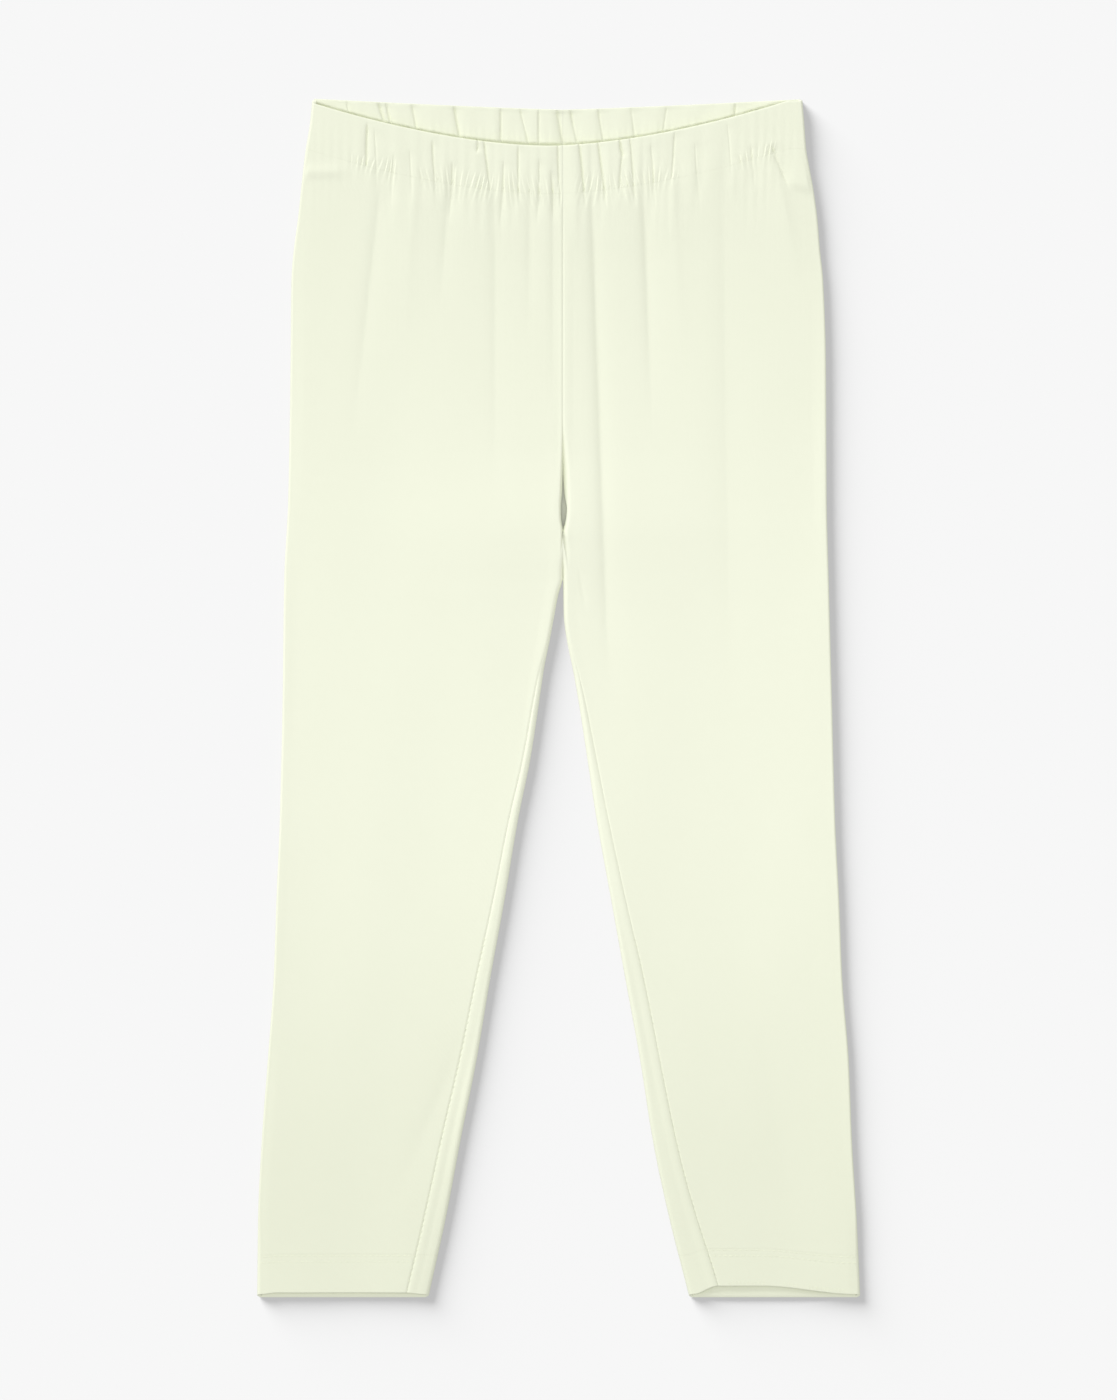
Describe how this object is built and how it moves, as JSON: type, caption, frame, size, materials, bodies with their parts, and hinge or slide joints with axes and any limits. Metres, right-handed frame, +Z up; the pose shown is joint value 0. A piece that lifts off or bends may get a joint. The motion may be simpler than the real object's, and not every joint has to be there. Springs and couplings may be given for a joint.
{
  "type": "child's leggings laid flat",
  "caption": "Plain pale lime jersey leggings with a gathered elastic waist, laid flat with the front up.",
  "frame": {"origin": "under the middle of the garment's box, on the surface that it lies on", "axes": "+Z up out of the front of the garment, +Y towards the waist, +X to the right as seen from above"},
  "size_m": [0.3011, 0.5989, 0.0064],
  "materials": {
    "jersey": "soft matte fine-knit jersey"
  },
  "bodies": {
    "root": {"left_leg": "jersey", "right_leg": "jersey", "left_waist_casing": "jersey", "right_waist_casing": "jersey", "left_hem": "jersey", "right_hem": "jersey"}
  },
  "joints": []
}
